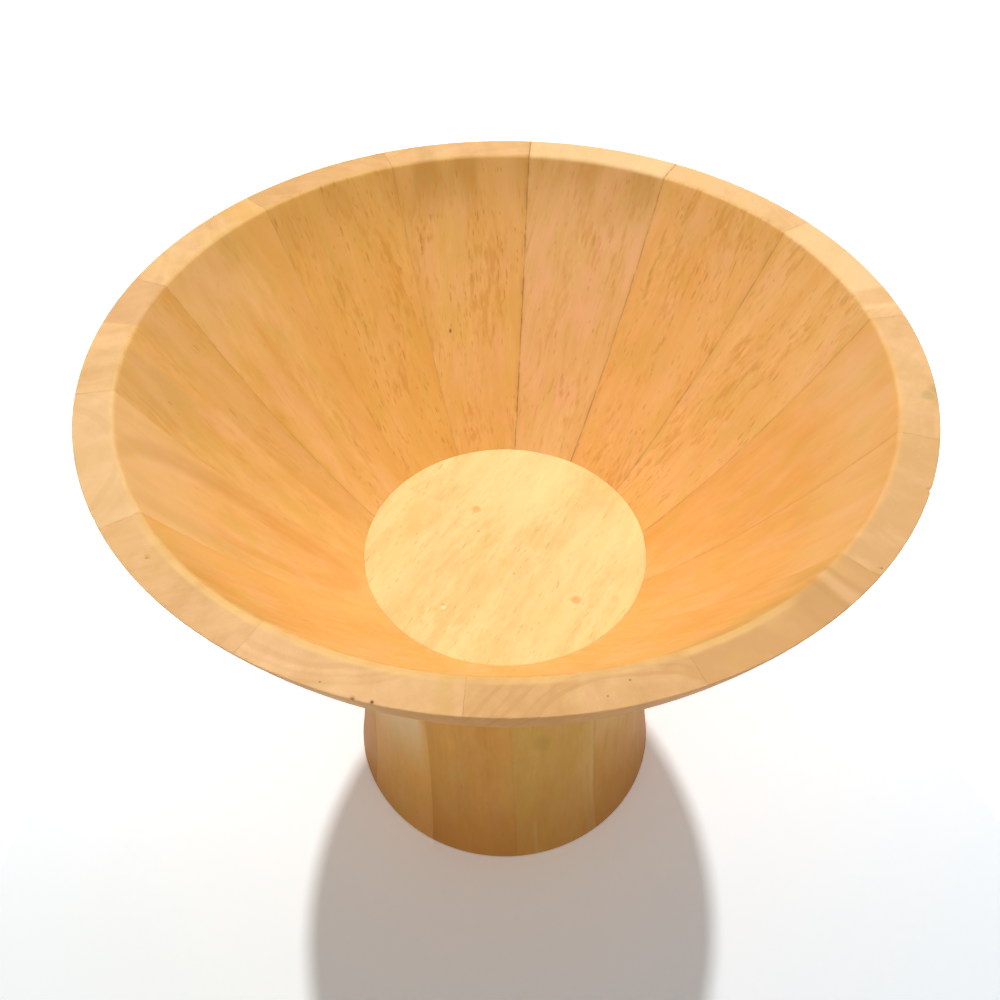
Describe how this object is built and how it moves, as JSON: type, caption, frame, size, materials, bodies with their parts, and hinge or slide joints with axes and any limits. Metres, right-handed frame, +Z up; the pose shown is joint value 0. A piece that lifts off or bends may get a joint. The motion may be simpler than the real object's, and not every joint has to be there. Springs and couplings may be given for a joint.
{
  "type": "wooden pedestal bowl",
  "caption": "Round coopered wooden bowl with a wide flat rim and a paler let-in floor board, standing on a tall, slightly flared coopered drum pedestal.",
  "frame": {"origin": "middle of the flat face that the pedestal stands on", "axes": "+Z up along the bowl's axis, from the foot to the rim; -Y faces the picture's camera"},
  "size_m": [0.3044, 0.3044, 0.254],
  "materials": {
    "bowl_wood": "satin clear lacquer on pale straight-grained hardwood staves",
    "floor_wood": "satin clear lacquer on a paler board",
    "pedestal_wood": "satin clear lacquer on slightly darker staves",
    "plate_wood": "bare sanded wood",
    "screw_steel": "zinc plated"
  },
  "bodies": {
    "root": {"bowl_stave_01": "bowl_wood", "bowl_stave_02": "bowl_wood", "bowl_stave_03": "bowl_wood", "bowl_stave_04": "bowl_wood", "bowl_stave_05": "bowl_wood", "bowl_stave_06": "bowl_wood", "bowl_stave_07": "bowl_wood", "bowl_stave_08": "bowl_wood", "bowl_stave_09": "bowl_wood", "bowl_stave_10": "bowl_wood", "bowl_stave_11": "bowl_wood", "bowl_stave_12": "bowl_wood", "bowl_stave_13": "bowl_wood", "bowl_stave_14": "bowl_wood", "bowl_floor": "floor_wood", "pedestal_stave_01": "pedestal_wood", "pedestal_stave_02": "pedestal_wood", "pedestal_stave_03": "pedestal_wood", "pedestal_stave_04": "pedestal_wood", "pedestal_stave_05": "pedestal_wood", "pedestal_stave_06": "pedestal_wood", "pedestal_stave_07": "pedestal_wood", "pedestal_stave_08": "pedestal_wood", "pedestal_stave_09": "pedestal_wood", "pedestal_stave_10": "pedestal_wood", "pedestal_stave_11": "pedestal_wood", "joining_plate": "plate_wood", "joining_screw_1": "screw_steel", "joining_screw_2": "screw_steel", "joining_screw_3": "screw_steel", "joining_screw_4": "screw_steel"}
  },
  "joints": []
}
